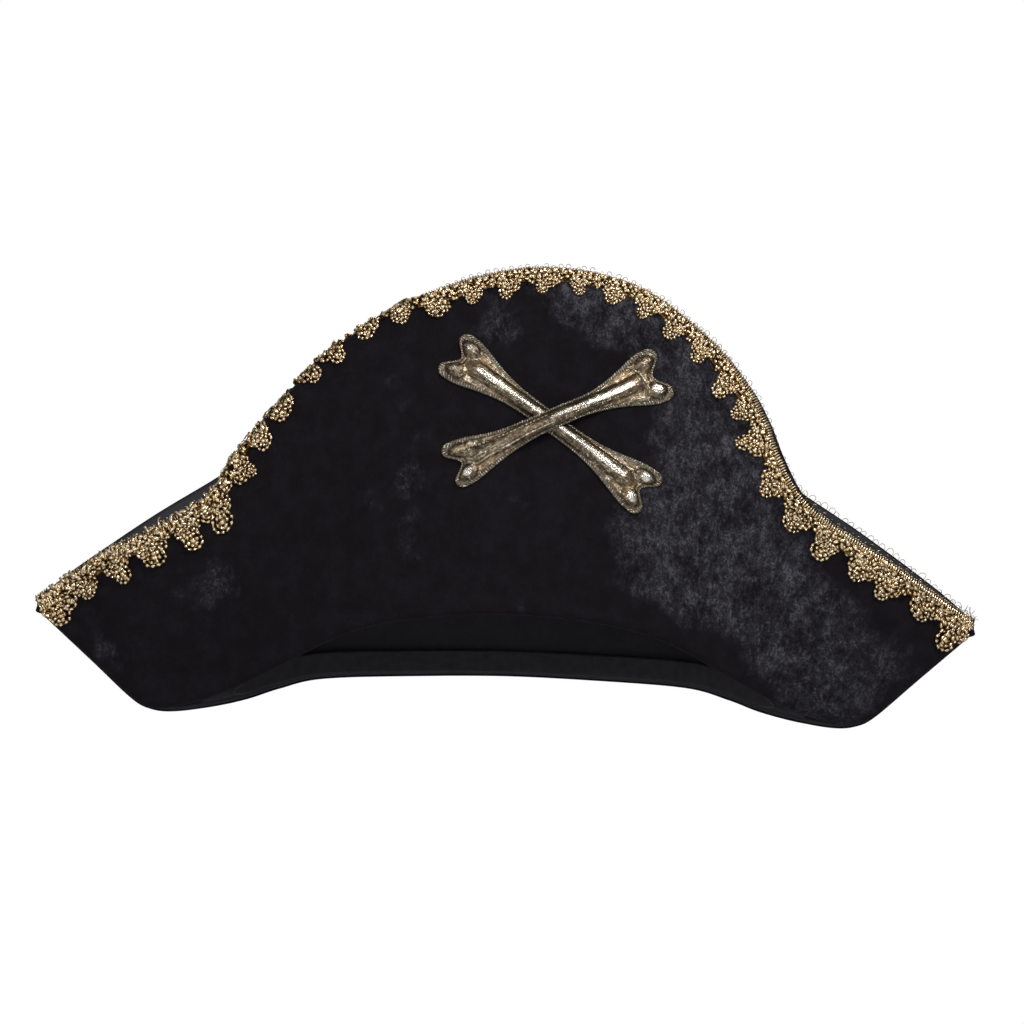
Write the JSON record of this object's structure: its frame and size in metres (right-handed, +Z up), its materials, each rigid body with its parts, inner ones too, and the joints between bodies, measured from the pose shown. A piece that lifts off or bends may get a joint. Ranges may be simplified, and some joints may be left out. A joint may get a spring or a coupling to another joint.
{
  "type": "pirate hat",
  "caption": "Soft bicorne pirate hat with front and back brim panels, an inner cap, scalloped braid along the top edges and crossed padded bones on the front.",
  "frame": {"origin": "middle of the head opening, level with the middle of the front panel's lower edge, where the hat meets the wearer's brow", "axes": "+X along the hat from the left tip to the right tip as seen from the front, +Y towards the back of the head, +Z up"},
  "size_m": [0.42, 0.1247, 0.1987],
  "materials": {
    "crushed_velvet": "crushed velvet, black",
    "foam": "laminated foam core, dark",
    "lining": "smooth woven lining, black",
    "cap_cloth": "plain cloth, black",
    "ribbon": "ribbed ribbon, black",
    "gold_braid": "metallic gold braid",
    "gold_lame": "metallic pale gold lame",
    "wadding": "polyester wadding"
  },
  "bodies": {
    "root": {"front_brim_velvet": "crushed_velvet", "back_brim_velvet": "crushed_velvet", "front_brim_foam": "foam", "back_brim_foam": "foam", "front_brim_lining": "lining", "back_brim_lining": "lining", "cap_front_wall": "cap_cloth", "cap_back_wall": "cap_cloth", "cap_tip": "cap_cloth", "sweatband": "ribbon", "front_braid": "gold_braid", "back_braid": "gold_braid", "over_bone_cover": "gold_lame", "under_bone_cover": "gold_lame", "over_bone_padding": "wadding", "under_bone_padding": "wadding"}
  },
  "joints": []
}
